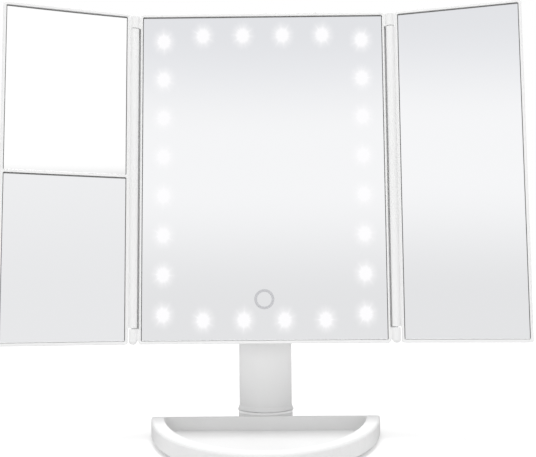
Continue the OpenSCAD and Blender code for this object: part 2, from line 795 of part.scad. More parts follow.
module battery_plates() {
    plate = [cell_pitch - 2, cell_d - 3];
    color("gold") on_head() for (i = [0:cell_count - 1], e = [0, 1]) {
        sprung = (i % 2 == 0) == (e == 0);
        depth = sprung ? plate_gap : contact_room / 2 - 0.1;
        translate([cell_x(i), cell_y, e == 0 ? bay_z + fit : rib_z - fit]) mirror([0, 0, e]) difference() {
            translate([-plate[0] / 2, -plate[1] / 2, 0]) cube([plate[0], plate[1], depth - fit]);
            if (!sprung) translate([-plate[0] / 2 - 1, -plate[1] / 2 + 0.5, -1])
                cube([plate[0] + 2, plate[1] - 1, depth + 1 - plate_gap]);
        }
    }
}

// Places of the posts that carry the control board
module at_board_posts() {
    for (s = [-1, 1], e = [-1, 1]) translate([s * (control_w / 2 - board_post_in), 0, control_mid])
        translate([0, 0, e * (control_board_h / 2 - board_post_in / 2)]) children();
}

module control_board() {
    color("seagreen") on_head() {
        difference() {
            translate([-control_w / 2, control_y, control_mid - control_board_h / 2])
                cube([control_w, board_t, control_board_h]);
            at_board_posts() slab(control_y - board_t, control_y + 2 * board_t) circle(d = 2.4, $fn = 24);
        }
        // dimmer chip and two capacitors
        translate([chip[0] / 3, control_y - chip[1], control_mid + chip[2] / 3]) cube([chip[0], chip[1] + bite, chip[2]]);
        for (i = [2, 3.5]) translate([-i * capacitor_d, 0, control_mid - capacitor_d])
            slab(control_y - capacitor_h, control_y + bite) circle(d = capacitor_d, $fn = 24);
    }
}

module usb_socket() {
    color("silver") on_head() difference() {
        translate([pod_w / 2 - 6, control_y - socket_t, control_mid - socket_w / 2]) cube([5.6, socket_t, socket_w]);
        translate([pod_w / 2 - 5, control_y - socket_t + 0.4, control_mid - socket_w / 2 + 0.4])
            cube([10, socket_t - 0.8, socket_w - 0.8]);
    }
}

module switch_body() {
    body_y = control_y + board_t;
    body_t = pod_back - pod_wall - body_y - 0.1;
    color("silver") on_head() difference() {
        translate([switch_x - switch_travel / 2 - switch_l / 2, body_y, control_mid - switch_h / 2])
            cube([switch_l, body_t, switch_h]);
        translate([switch_x - stem_l / 2 - switch_travel - slack, body_y + 1, control_mid - stem_h / 2 - slack])
            cube([stem_l + switch_travel + 2 * slack, 20, stem_h + 2 * slack]);
    }
}

module power_switch() {
    stem_y = control_y + board_t + 1.2;
    color("white") on_head() {
        translate([switch_x - stem_l / 2, stem_y, control_mid - stem_h / 2])
            cube([stem_l, pod_back - stem_y, stem_h]);
        difference() {
            translate([switch_x - knob_l / 2, pod_back - 0.6, control_mid - knob_h / 2])
                cube([knob_l, 1.8, knob_h]);
            for (i = [-2:2]) translate([switch_x + i * 1.2 - 0.3, pod_back + 0.7, control_mid - knob_h])
                cube([0.6, 2, 2 * knob_h]);
        }
    }
}

// ---- Tilt joint ----

nut_t = 3;
head_t = 2.4;

module tilt_bolt() {
    color("silver") on_head() {
        rod_x(-ear_out - nut_t, ear_out + head_t, bolt_d / 2, 64);
        rod_x(ear_out + fit, ear_out + head_t, bolt_d * 0.9, 32);
    }
}

module tilt_nut() {
    color("silver") on_head() difference() {
        rod_x(-ear_out - nut_t, -ear_out - fit, bolt_d * 0.95, 6);
        rod_x(-2 * post_w, 2 * post_w, bolt_d / 2 + fit / 2, 48);
    }
}

module tilt_washers() {
    color("dimgray") on_head() for (s = [-1, 1]) difference() {
        rod_x(s * (knuckle_hw + fit + washer_t / 2) - washer_t / 2, s * (knuckle_hw + fit + washer_t / 2) + washer_t / 2,
            knuckle_r - 1, 48);
        rod_x(-2 * post_w, 2 * post_w, bolt_d / 2 + 0.1, 48);
    }
}

module tilt_caps() {
    cap_r = bolt_d * 0.95 + 1.4;
    color("white") on_head() for (s = [-1, 1]) scale([s, 1, 1]) translate([ear_out, 0, 0])
        rotate([0, 90, 0]) rotate_extrude($fn = 48) polygon([
            [cap_r - 1, 0], [cap_r, 0], [cap_r, nut_t + 0.6], [cap_r - 0.8, nut_t + 1.4],
            [0, nut_t + 1.4], [0, nut_t + 0.3], [cap_r - 1, nut_t + 0.3]]);
}

// ---- Wings ----

// Wing moulding: a shallow tray on a long hinge barrel
module wing_shell() {
    mid = (wing_start + wing_reach) / 2;
    width = wing_reach - wing_start;
    difference() {
        union() {
            translate([mid, 0, 0]) hull() {
                slab(wing_face, wing_face + 0.4) rounded_rect(width - 0.6, frame_h - 0.6, frame_r);
                slab(wing_face + 0.3, wing_back - edge_r) rounded_rect(width, frame_h, frame_r);
                slab(wing_back - edge_r / 2, wing_back - edge_r * 0.3)
                    rounded_rect(width - 0.6 * edge_r, frame_h - 0.6 * edge_r, frame_r);
                slab(wing_back - 0.02, wing_back)
                    rounded_rect(width - 2 * edge_r, frame_h - 2 * edge_r, frame_r);
            }
            cylinder(h = 2 * barrel_top, r = barrel_r, center = true, $fn = 48);
            translate([0, wing_face, -barrel_top])
                cube([wing_start + 0.6, barrel_r - wing_face - 0.3, 2 * barrel_top]);
        }
        children();
        for (e = [-1, 1]) translate([0, 0, e * barrel_top])
            cylinder(h = 2 * pin_run + 1, r = pin_d / 2 + fit, center = true, $fn = 32);
    }
}

// Pocket for one pane between two heights
module pane_pocket(z0, z1) {
    translate([wing_pane_x - pane_gap + (wing_pane_w + 2 * pane_gap) / 2, 0, (z0 + z1) / 2])
        slab(wing_face - 5, wing_floor) rounded_rect(wing_pane_w + 2 * pane_gap, z1 - z0 + 2 * pane_gap, 0.8);
}

module wing_pane(z0, z1) {
    translate([wing_pane_x + wing_pane_w / 2, 0, (z0 + z1) / 2])
        slab(wing_face + pane_recess, wing_face + pane_recess + glass_t)
            rounded_rect(wing_pane_w, z1 - z0, 0.6);
}

module wing_tape(z0, z1) {
    tape_w = 10;
    for (q = [0.25, 0.75]) translate([wing_pane_x + wing_pane_w * q, 0, (z0 + z1) / 2])
        slab(wing_face + pane_recess + glass_t, wing_floor) square([tape_w, z1 - z0 - 20], center = true);
}

pane_low = -glass_h / 2;
pane_high = glass_h / 2;
bar_low = bar_up - bar_h / 2 - pane_gap;
bar_high = bar_up + bar_h / 2 + pane_gap;

module left_wing_shell() {
    color("white") on_left_wing() wing_shell() {
        pane_pocket(pane_low, bar_low);
        pane_pocket(bar_high, pane_high);
    }
}
module left_upper_mirror() {
    color("aliceblue") on_left_wing() wing_pane(bar_high, pane_high);
}
module left_lower_mirror() {
    color("lightsteelblue") on_left_wing() wing_pane(pane_low, bar_low);
}
module left_wing_tape() {
    color("whitesmoke") on_left_wing() {
        wing_tape(pane_low, bar_low);
        wing_tape(bar_high, pane_high);
    }
}
module right_wing_shell() {
    color("white") on_right_wing() wing_shell() pane_pocket(pane_low, pane_high);
}
module right_wing_mirror() {
    color("lightsteelblue") on_right_wing() wing_pane(pane_low, pane_high);
}
module right_wing_tape() {
    color("whitesmoke") on_right_wing() wing_tape(pane_low, pane_high);
}

base_tray();
base_plate();
base_pad();
base_screws();
post_front_shell();
post_rear_shell();
post_screws();
tilt_bush();
center_frame();
center_glass();
center_tape();
led_board();
leds();
touch_board();
touch_foam();
control_board();
usb_socket();
switch_body();
back_cover();
back_screws();
batteries();
battery_springs();
battery_plates();
tilt_bolt();
tilt_nut();
tilt_washers();
tilt_caps();
hinge_pins();
left_wing_shell();
left_upper_mirror();
left_lower_mirror();
left_wing_tape();
right_wing_shell();
right_wing_mirror();
right_wing_tape();
power_switch();
battery_cover();
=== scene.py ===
# %% [markdown]
# # A folding table mirror with a lit centre panel
# The solid model of this mirror was made first and packed as a frame that Blender must not move.
# This lesson dresses it: finishes for every solid, a few finer surfaces where a plain solid is too
# plain, a studio, and a camera that stands where the photographer stood. Loading the frame comes
# first, because every later piece takes its place from it.

# %% Load the frame
import math

import bpy
import numpy as np
from mathutils import Matrix, Vector


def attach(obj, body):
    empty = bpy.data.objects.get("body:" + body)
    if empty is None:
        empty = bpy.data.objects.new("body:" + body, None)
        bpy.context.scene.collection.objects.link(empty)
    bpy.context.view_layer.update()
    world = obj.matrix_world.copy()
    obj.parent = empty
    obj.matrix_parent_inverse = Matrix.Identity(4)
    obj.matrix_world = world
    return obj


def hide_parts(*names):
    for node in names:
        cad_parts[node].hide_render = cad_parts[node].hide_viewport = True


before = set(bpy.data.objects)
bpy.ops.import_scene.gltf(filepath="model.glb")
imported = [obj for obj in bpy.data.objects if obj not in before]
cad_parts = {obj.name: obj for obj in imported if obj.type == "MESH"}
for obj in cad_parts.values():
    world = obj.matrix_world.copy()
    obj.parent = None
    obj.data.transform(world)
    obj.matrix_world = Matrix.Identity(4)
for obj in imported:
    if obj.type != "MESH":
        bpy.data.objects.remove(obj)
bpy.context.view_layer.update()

# %% [markdown]
# The mirror panel leans back on an axle above the table, and each wing is folded towards the
# viewer about its own hinge. New surfaces are easier to write in the flat drawing of their panel,
# so three small functions carry drawing points, in millimetres, to their place in the room. All
# are plain rotations written out for whole arrays of points.

# %% Places on the panel and on the wings
MM = 0.001
LEAN = math.radians(8)
AXLE_HEIGHT = 77.5
PANEL_MIDDLE = 94.2
PANEL_HALF_WIDTH, PANEL_HALF_HEIGHT = 80.0, 108.0
GLASS_FRONT = -20.8
HINGE_X, HINGE_Y = 85.35, -21.95
FOLD = {"left": math.radians(20), "right": math.radians(15)}
PANEL_UP = (0.0, math.sin(LEAN), math.cos(LEAN))
PANEL_BACK = (0.0, math.cos(LEAN), -math.sin(LEAN))


def on_head(points):
    """Metres from drawing points (x, y, z) in mm: turned back by the lean, then up to the axle."""
    x, y, z = np.moveaxis(np.asarray(points, float), -1, 0)
    c, s = math.cos(LEAN), math.sin(LEAN)
    return np.stack([x, y * c + z * s, AXLE_HEIGHT - y * s + z * c], axis=-1) * MM


def on_panel(points):
    """The same for points drawn from the middle of the panel."""
    return on_head(np.asarray(points, float) + (0, 0, PANEL_MIDDLE))


def on_wing(points, side):
    """The same for points from a wing's hinge, turned by its fold and mirrored on the left."""
    x, y, z = np.moveaxis(np.asarray(points, float), -1, 0)
    c, s = math.cos(FOLD[side]), math.sin(FOLD[side])
    sign = -1 if side == "left" else 1
    return on_panel(np.stack(
        [sign * (HINGE_X + x * c + y * s), HINGE_Y - x * s + y * c, z], axis=-1))


top_middle = on_panel((0, GLASS_FRONT, PANEL_HALF_HEIGHT))
print("top of the centre panel, metres:", top_middle.round(4))

# %% [markdown]
# The photograph was taken from in front, slightly right of the middle, at little more than half of
# the mirror's height, looking down by two degrees. The camera's place was found by matching the
# corners of the panes and the lit spots, and its rows below are the picture's right and forward
# directions.

# %% Camera
CAMERA_PLACE = Vector((8.84, -602.39, 160.13)) * MM
CAMERA_RIGHT = Vector((0.99991, 0.00999, -0.00910))
CAMERA_FORWARD = Vector((-0.01031, 0.99929, -0.03617))
SENSOR_MM = 36
FOCAL_PIXELS, PICTURE_PIXELS = 900, 536

camera_data = bpy.data.cameras.new("photo_camera")
camera_data.sensor_width = SENSOR_MM
camera_data.lens = SENSOR_MM * FOCAL_PIXELS / PICTURE_PIXELS
camera_data.clip_start, camera_data.clip_end = 0.02, 50
camera = bpy.data.objects.new("photo_camera", camera_data)
bpy.context.scene.collection.objects.link(camera)
upwards = CAMERA_RIGHT.cross(CAMERA_FORWARD).normalized()
sideways = CAMERA_FORWARD.cross(upwards).normalized()
camera.matrix_world = Matrix.Translation(CAMERA_PLACE) @ Matrix(
    (sideways, upwards, -CAMERA_FORWARD.normalized())).transposed().to_4x4()
bpy.context.scene.camera = camera
print("lens, mm:", round(camera_data.lens, 2))

# %% [markdown]
# A finish is easiest to read as arithmetic. The class below wraps one output of a shader node, so
# that a sum or product of two of them adds the Math node that works it out, and `node` adds any
# other kind. The same few lines serve for every material and for the room's light.

# %% Arithmetic on shader values
class Value:
    """One number or colour that flows through a finish; sums and products add Math nodes."""

    def __init__(self, finish, socket):
        self.finish, self.socket = finish, socket

    def math(self, operation, *operands):
        """A Math node of this value with the operands."""
        return self.finish.node(
            "ShaderNodeMath", {"operation": operation}, dict(enumerate((self, *operands))))

    def __add__(self, other): return self.math("ADD", other)
    def __sub__(self, other): return self.math("SUBTRACT", other)
    def __mul__(self, other): return self.math("MULTIPLY", other)
    def __truediv__(self, other): return self.math("DIVIDE", other)
    def __rsub__(self, other): return self.math("MULTIPLY_ADD", -1.0, other)
    def __neg__(self): return self * -1.0
    def __abs__(self): return self.math("ABSOLUTE")
    __radd__, __rmul__ = __add__, __mul__

    def least(self, other): return self.math("MINIMUM", other)
    def most(self, other): return self.math("MAXIMUM", other)
    def power(self, other): return self.math("POWER", other)

    def ramp(self, start, end):
        """0 before start, 1 after end and a smooth rise between; start may be the larger."""
        low, high = min(start, end), max(start, end)
        rise = self.finish.node(
            "ShaderNodeMapRange", {"interpolation_type": "SMOOTHSTEP"},
            {"Value": self, "From Min": low, "From Max": high})
        return rise if start < end else 1.0 - rise

    def between(self, start, full, fading, end):
        """0 up to start, 1 from full to fading, and 0 again from end."""
        return self.ramp(start, full) * self.ramp(end, fading)


class Finish:
    """The node tree of a material or of the room, with one method that adds a node."""

    def __init__(self, owner):
        owner.use_nodes = True
        self.tree = owner.node_tree
        self.tree.nodes.clear()

    def node(self, kind, settings=None, inputs=None, output=0):
        """Adds a node, sets its settings and its sockets, and returns one output as a Value."""
        made = self.tree.nodes.new(kind)
        for name, setting in (settings or {}).items():
            setattr(made, name, setting)
        for name, given in (inputs or {}).items():
            socket = made.inputs[name]
            if isinstance(given, Value):
                self.tree.links.new(given.socket, socket)
            else:
                socket.default_value = given
        return Value(self, made.outputs[output]) if made.outputs else None

    def place(self):
        """The point on the surface in metres, in the frame at rest."""
        return self.node("ShaderNodeTexCoord", output="Object")

    def along(self, direction):
        """How far the point lies along a direction, in millimetres."""
        return self.node(
            "ShaderNodeVectorMath", {"operation": "DOT_PRODUCT"},
            {0: self.place(), 1: [c / MM for c in direction]}, "Value")

    def up_panel(self):
        """How far the point lies up the panel from its middle, in millimetres."""
        return self.along(PANEL_UP) - (PANEL_MIDDLE + AXLE_HEIGHT * math.cos(LEAN))

    def noise(self, size_mm, detail=3, roughness=0.5):
        """Soft clouds of about the given size, from 0 to 1."""
        return self.node("ShaderNodeTexNoise", inputs={
            "Vector": self.place(), "Scale": 1 / (size_mm * MM),
            "Detail": detail, "Roughness": roughness})

    def blend(self, share, first, second):
        """The first colour where share is 0 and the second where it is 1."""
        return self.node(
            "ShaderNodeMix", {"data_type": "RGBA"}, {0: share, 6: first, 7: second}, 2)

    def colour(self, red, green, blue):
        """One colour out of three values."""
        return self.node("ShaderNodeCombineXYZ", inputs={0: red, 1: green, 2: blue})

    def bump(self, height, depth_mm, normal=None):
        """Normals of a surface whose relief is height times depth."""
        inputs = {"Height": height, "Strength": 1.0, "Distance": depth_mm * MM}
        if normal is not None:
            inputs["Normal"] = normal
        return self.node("ShaderNodeBump", inputs=inputs)

    def soft_edges(self, radius_mm):
        """Normals that run round each sharp edge as a moulding's small radius does."""
        return self.node("ShaderNodeBevel", {"samples": 6}, {"Radius": radius_mm * MM})

    def surface(self, **inputs):
        """Closes a material with its Principled shader; sockets are named with _ for spaces."""
        shader = self.node("ShaderNodeBsdfPrincipled", inputs={
            name.replace("_", " "): given for name, given in inputs.items()})
        self.node("ShaderNodeOutputMaterial", inputs={"Surface": shader})


def grey(level, blue=1.0):
    """An even grey, a trifle cool where blue is above 1."""
    return (level, level, level * blue, 1.0)


finishes = {}


def new_finish(name):
    """Starts a material and keeps it under its name."""
    finishes[name] = bpy.data.materials.new(name)
    return Finish(finishes[name])


print("shader arithmetic ready")

# %% [markdown]
# The room. The photograph has a white ground with no visible edge, and the mirrors show a pale grey
# studio that is brightest a little above the level of the camera. The room's light is therefore
# split by the kind of ray: the camera sees white, mirrors see a soft wall with a brighter band and
# a lamp's white sheet to the right, and everything else is lit evenly.

# %% The room's light
# Heights above the horizon and turns to the right are in degrees, the rest are levels of light
ROOM_GLOW = 0.84
WALL, BAND_EXTRA, LEFT_EXTRA = 0.800, 0.152, 0.006
RIGHT_WALL, RIGHT_BAND_EXTRA = 0.828, 0.055
BAND_HEIGHT = (9, 16.5, 19.5, 26.7)
SHEET_LEVEL, SHEET_TURN, SHEET_HEIGHT = 1.05, (14, 20, 36, 42), (17.4, 19.4, 40, 46)
COOLNESS, COOLNESS_ABOVE = 0.017, 0.018

room = bpy.data.worlds.new("studio")
bpy.context.scene.world = room
air = Finish(room)
way = air.node("ShaderNodeTexCoord", output="Generated")
way_x, way_y, way_z = (
    air.node("ShaderNodeSeparateXYZ", inputs={0: way}, output=axis) for axis in "XYZ")
rising = way_z.math("ARCSINE") * math.degrees(1)
turning = way_x.math("ARCTAN2", -way_y) * math.degrees(1)
band = rising.between(*BAND_HEIGHT)
on_right_side = turning.ramp(10, 20)
on_left_side = turning.ramp(-8, -16)
wall = (WALL + LEFT_EXTRA * on_left_side) + band * BAND_EXTRA
wall = wall * (1 - on_right_side) + on_right_side * (RIGHT_WALL + band * RIGHT_BAND_EXTRA)
sheet = turning.between(*SHEET_TURN) * rising.between(*SHEET_HEIGHT)

for_camera, for_mirror, through = (
    air.node("ShaderNodeLightPath", output=f"Is {kind} Ray")
    for kind in ("Camera", "Glossy", "Transmission"))
plain_white = for_camera.most(through)
level = plain_white + (1 - plain_white) * (
    for_mirror * wall.most(sheet * SHEET_LEVEL) + (1 - for_mirror) * ROOM_GLOW)
coolness = for_mirror * (1 - plain_white) * (1 - sheet) * (
    COOLNESS + COOLNESS_ABOVE * rising.ramp(20, 25))
light = air.node("ShaderNodeBackground", inputs={
    "Color": air.colour(level - coolness * 0.35, level - coolness * 0.1, level + coolness * 0.65),
    "Strength": 1.0})
air.node("ShaderNodeOutputWorld", inputs={"Surface": light})
bpy.context.scene.view_settings.view_transform = "Standard"
print("the room's glow:", ROOM_GLOW)

# %% [markdown]
# Two broad lamps give the plastic its shape: a strong one straight overhead and a weak one from the
# left. They are large and far, so that their shadows stay as soft as in the photograph, and mirrors
# do not show them.

# %% Lamps
def sheet_lamp(name, place, aim, size, watts):
    """A square area lamp at a place, turned to a point, all in metres."""
    lamp_data = bpy.data.lights.new(name, "AREA")
    lamp_data.shape, lamp_data.size, lamp_data.energy = "SQUARE", size, watts
    holder = bpy.data.objects.new(name, lamp_data)
    holder.location = place
    holder.rotation_mode = "QUATERNION"
    holder.rotation_quaternion = (Vector(aim) - Vector(place)).to_track_quat("-Z", "Y")
    holder.visible_glossy = False
    bpy.context.scene.collection.objects.link(holder)


sheet_lamp("lamp_above", place=(0, -0.10, 2.0), aim=(0, -0.03, 0.1), size=0.8, watts=22)
sheet_lamp("lamp_left", place=(-1.6, -1.0, 0.7), aim=(0, 0, 0.1), size=0.8, watts=1)

# %% [markdown]
# The table is a wide pale disc. Seen directly it gets some light of its own, so that it reaches
# paper white beside the object while the object's shadow stays on it, and far from the object it
# fades into the white of the room, so that no edge shows. It is clear from below, and to rays that
# start within a millimetre of it, so that the underside can be looked at in the room's light.

# %% The table
TABLE_RADIUS, TABLE_RINGS, TABLE_SIDES = 9.0, 24, 72
TABLE_DROP = 0.0002
TABLE_GREY, TABLE_LIFT = 0.62, 0.42
FADE_FROM, FADE_TO = 0.35, 1.6
FAR_GLOW, FAR_GLOW_MIRROR_EXTRA = 0.735, 0.065
TOUCHING = 0.001
WHITE, BLACK = grey(1.0), grey(0.0)

ring, turn = np.meshgrid(
    np.linspace(0, 1, TABLE_RINGS) ** 2 * TABLE_RADIUS,
    np.linspace(0, 2 * np.pi, TABLE_SIDES + 1)[:-1], indexing="ij")
table_points = np.stack([ring * np.cos(turn), ring * np.sin(turn), 0 * ring], -1)


def grid_faces(rows, columns, closed_columns=False):
    """Quads of a grid numbered row by row; the last column joins the first where it is closed."""
    r = np.arange(rows - 1)[:, None]
    c = np.arange(columns if closed_columns else columns - 1)[None, :]
    n = (c + 1) % columns
    quads = [r * columns + c, r * columns + n, (r + 1) * columns + n, (r + 1) * columns + c]
    return np.stack(quads, -1).reshape(-1, 4)


def new_piece(name, points, faces, finish, smooth=False):
    """A mesh object at the origin from points in metres and faces given by their corners."""
    mesh = bpy.data.meshes.new(name)
    mesh.from_pydata(
        np.asarray(points, float).reshape(-1, 3), [], [list(map(int, face)) for face in faces])
    mesh.polygons.foreach_set("use_smooth", np.full(len(mesh.polygons), smooth))
    mesh.materials.append(finishes[finish])
    mesh.update()
    piece = bpy.data.objects.new(name, mesh)
    bpy.context.scene.collection.objects.link(piece)
    return piece


paper = new_finish("white_table")
seen, in_mirror, ray_length = (
    paper.node("ShaderNodeLightPath", output=name)
    for name in ("Is Camera Ray", "Is Glossy Ray", "Ray Length"))
shade = paper.node("ShaderNodeBsdfDiffuse", inputs={"Color": grey(TABLE_GREY)})
lift = paper.node("ShaderNodeEmission", inputs={"Color": WHITE, "Strength": seen * TABLE_LIFT})
near_paper = paper.node("ShaderNodeAddShader", inputs={0: shade, 1: lift})
far_level = seen + (1 - seen) * (FAR_GLOW + FAR_GLOW_MIRROR_EXTRA * in_mirror)
far_paper = paper.node("ShaderNodeEmission", inputs={"Color": WHITE, "Strength": far_level})
far_off = paper.node("ShaderNodeVectorMath", {"operation": "LENGTH"}, {0: paper.place()}, "Value")
whole = paper.node("ShaderNodeMixShader", inputs={
    0: far_off.ramp(FADE_FROM, FADE_TO), 1: near_paper, 2: far_paper})
from_below = paper.node("ShaderNodeNewGeometry", output="Backfacing")
touching = ray_length.math("LESS_THAN", TOUCHING) * (1 - seen)
clear = paper.node("ShaderNodeBsdfTransparent")
paper.node("ShaderNodeOutputMaterial", inputs={"Surface": paper.node(
    "ShaderNodeMixShader", inputs={0: from_below.most(touching), 1: whole, 2: clear})})

table = new_piece(
    "table", table_points, grid_faces(TABLE_RINGS, TABLE_SIDES, True)[:, ::-1], "white_table")
table.location.z = -TABLE_DROP
print("table radius, metres:", TABLE_RADIUS)

# %% [markdown]
# White moulded plastic covers most of the object. Real housings of this kind are satin: the mould
# leaves a very fine grain that breaks up highlights, the gloss wanders a little over a broad wall,
# and each edge has a radius of a few tenths of a millimetre that catches light. Grain and wander
# are noise at two sizes, and the soft edges come from a node that rounds the normals there. Where
# the photograph shows a moulding paler or duller in one place, a share worked out from the place
# carries its grey over to another: these are painted light and painted shade, on the post's foot,
# the slot floor behind each hinge barrel, and the tray's collar and outer wall.

# %% White housing plastic
RIM_TOP = 14.0
WALL_REAR, WALL_FRONT, WALL_SHARE = 15.0, 65.0, 0.75
POST_FOOT, POST_MIDDLE = 16.0, 52.0
BARREL_RADIUS, BARREL_GAP = 2.65, 0.35
SLOT_FLOOR, SLOT_SOFTNESS = HINGE_Y + BARREL_RADIUS + BARREL_GAP, 0.25
SLOT_FROM_X, BARREL_HALF_LENGTH = (81.4, 81.7), 99.9


def white_plastic(name, colour, gloss, grain_mm, grain_depth_mm, other=0, share=None):
    """Satin moulded plastic; its grey goes over to other where share(finish) rises to 1."""
    f = new_finish(name)
    drift = f.noise(18, detail=2)
    grain = f.noise(grain_mm, detail=2)
    speck = f.noise(1.1, detail=1)
    body = f.blend(drift, grey(colour * 0.985, 0.995), grey(colour, 1.002))
    f.surface(
        Base_Color=f.blend(share(f), body, grey(other)) if share else body,
        Roughness=gloss + 0.07 * drift + 0.05 * speck,
        Normal=f.bump(grain, grain_depth_mm, f.soft_edges(0.35)), IOR=1.49)


def painted_tray_light(f):
    """Painted light on the tray: 1 on the collar, rising round the outer wall's front, which are
    painted paler than the rest of the tray.
    """
    collar = f.along((0, 0, 1)).ramp(RIM_TOP - 0.1, RIM_TOP + 0.3)
    facing = f.node("ShaderNodeNewGeometry", output="Normal")
    upright = 1 - abs(f.node("ShaderNodeSeparateXYZ", inputs={0: facing}, output="Z"))
    return collar.most(upright * f.along((0, -1, 0)).ramp(WALL_REAR, WALL_FRONT) * WALL_SHARE)


def painted_foot_shade(f):
    """Painted shade on the post: from 0 on its upper half to 1 at its foot, which is painted
    darker.
    """
    return (POST_MIDDLE - f.along((0, 0, 1))) / (POST_MIDDLE - POST_FOOT)


def painted_slot_shade(f):
    """Painted shade: 1 on the narrow floor of the slot behind each hinge barrel, which is painted
    darker.
    """
    above_floor = f.along(PANEL_BACK) + (AXLE_HEIGHT * math.sin(LEAN) - SLOT_FLOOR)
    floor = above_floor.between(-SLOT_SOFTNESS, 0, SLOT_SOFTNESS, 3 * SLOT_SOFTNESS)
    lengthwise = abs(f.up_panel()).ramp(BARREL_HALF_LENGTH, BARREL_HALF_LENGTH - 0.5)
    return floor * abs(f.along((1, 0, 0))).ramp(*SLOT_FROM_X) * lengthwise


white_plastic("white_housing", colour=0.94, gloss=0.34, grain_mm=0.45, grain_depth_mm=0.012)
# The frame's slot floor behind each hinge barrel is painted darker, as painted shade.
white_plastic("white_frame", colour=0.94, gloss=0.34, grain_mm=0.45, grain_depth_mm=0.012,
              other=0.75, share=painted_slot_shade)
# The post is painted darker towards its foot, as painted shade.
white_plastic("white_post", colour=0.945, gloss=0.36, grain_mm=0.45, grain_depth_mm=0.012,
              other=0.735, share=painted_foot_shade)
# The tray's collar and the front of its outer wall are painted paler than the rest, as painted
# light.
white_plastic("white_tray", colour=0.77, gloss=0.38, grain_mm=0.55, grain_depth_mm=0.016,
              other=0.97, share=painted_tray_light)
white_plastic("white_knob", colour=0.86, gloss=0.30, grain_mm=0.35, grain_depth_mm=0.010)
print("plastics:", sorted(finishes))

# %% [markdown]
# The panes are silvered glass. The silver reflects almost everything; a ground edge a few tenths of
# a millimetre wide has none and looks dark. On the centre pane the silver is also etched away in 24
# round windows, where a lamp shines through frosted glass, and in a ring that marks the touch key.
# A lamp's light takes the place of the reflection under it, so that a window is as wide in a bright
# part of the mirror as in a dark one. All of these are masks worked out from the place on the pane,
# so that they ride with it.

# %% Silvered glass
LAMP_COLUMN_X, LAMP_ROW_Z = 66.1, 95.0
COLUMN_LAMPS, ROW_LAMPS = 8, 4
COLUMN_PITCH, ROW_PITCH = 2 * 91.3 / (COLUMN_LAMPS - 1), 26.6
# Radii in mm at which each part of a window's glow begins and at which it is full; the halo and
# rays reach past the window as painted glints
CORE, HALO, RAYS = (6.2, 3.2), (10.5, 3.5), (12.0, 4.0)
CORE_SHARE, HALO_SHARE, RAYS_SHARE = 0.55, 0.45, 0.15
TOUCH_Z, RING_IN, RING_OUT, RING_SOFTNESS = -81.5, 4.75, 6.55, 0.25
RING_GREY = grey(0.655, 1.03)
SIDE_EDGE, TOP_EDGE, LOWER_SLACK = (0.10, 0.40), (0.50, 0.90), 0.3


def silver(f, from_side, from_top, tint_with_painted_light=0.965):
    """Colour, roughness and metal share of silvered glass; the distances to its edges in mm say
    where it ends, and the upper edge is darker, because the frame shades the glass most there."""
    silvered = from_side.ramp(*SIDE_EDGE) * from_top.ramp(*TOP_EDGE)
    haze = f.noise(55, detail=4)
    colour = f.blend(silvered, grey(0.20), grey(tint_with_painted_light))
    return colour, 0.004 + 0.012 * haze + 0.25 * (1 - silvered), silvered


def repeated(value, pitch, count):
    """For a row of marks a pitch apart, centred on 0: the distance from the nearest mark in mm,
    1 inside the row and 0 outside, and the number of the mark."""
    half = pitch * count / 2
    shifted = (value + half) / pitch
    number = shifted.math("FLOOR")
    return (shifted - number - 0.5) * pitch, abs(value).ramp(half, half - 0.01), number


def star(across, up, number, inside):
    """Brightness of one frosted window: a core that is the lit window, and round it a halo and rays
    that differ by its number and are painted glints on the silver.
    """
    reach = (across * across * 1.30 + up * up * 0.95).power(0.5)
    angle = up.math("ARCTAN2", across)
    broad = abs((angle * 4 + number * 1.7).math("COSINE")).power(10)
    narrow = abs((angle * 5 - number * 2.3).math("COSINE")).power(14)
    return inside * (
        reach.ramp(*CORE) * CORE_SHARE + reach.ramp(*HALO) * HALO_SHARE
        + (broad + narrow) * reach.ramp(*RAYS) * RAYS_SHARE).least(1.0)


pane = new_finish("lit_mirror")
sideways_mm = pane.along((1, 0, 0))
up_mm = pane.up_panel()
column_step, in_column, column_number = repeated(up_mm, COLUMN_PITCH, COLUMN_LAMPS)
row_step, in_row, row_number = repeated(sideways_mm, ROW_PITCH, ROW_LAMPS)
columns = star(
    abs(sideways_mm) - LAMP_COLUMN_X, column_step,
    column_number + sideways_mm.math("SIGN") * 5, in_column)
rows = star(
    row_step, abs(up_mm) - LAMP_ROW_Z, row_number + up_mm.math("SIGN") * 3, in_row)
lit = columns.most(rows)
above_ring = up_mm - TOUCH_Z
from_ring = (sideways_mm * sideways_mm + above_ring * above_ring).power(0.5)
etched = from_ring.between(
    RING_IN - RING_SOFTNESS, RING_IN + RING_SOFTNESS,
    RING_OUT - RING_SOFTNESS, RING_OUT + RING_SOFTNESS)
edge_mm = (PANEL_HALF_WIDTH - abs(sideways_mm)).least(up_mm + (PANEL_HALF_HEIGHT + LOWER_SLACK))
colour, roughness, metal = silver(pane, edge_mm, PANEL_HALF_HEIGHT - up_mm)
pane.surface(
    Base_Color=pane.blend(lit, pane.blend(etched, colour, RING_GREY), BLACK),
    Roughness=roughness + etched * 0.22 + lit * 0.10,
    Metallic=metal * (1 - 0.35 * etched),
    Emission_Color=pane.colour(lit * 0.99, lit * 0.985, lit),
    Emission_Strength=1.0)
print("lamp windows:", 2 * COLUMN_LAMPS + 2 * ROW_LAMPS)

# %% [markdown]
# A pane is a plate with a narrow ground bevel round its front. A magnifying pane is also hollowed
# like a very shallow dish, which gathers the light of the lamp's sheet: that is why the upper left
# pane looks whiter than the one below it. Front and back are two grids of the same size, joined
# round their rims, so one function makes all four panes.

# %% Panes
BEVEL, BEVEL_DEPTH = 0.3, 0.24
GLASS = 2.0
WING_PANE_X, WING_PANE_Y = (5.15, 82.95), 1.15
BAR_LOW, BAR_HIGH = -1.0, 1.0
UPPER_DISH, LOWER_DISH, FLAT = 1.2, 0.5, 0
DISH_STEPS, FLAT_STEPS = 25, 3


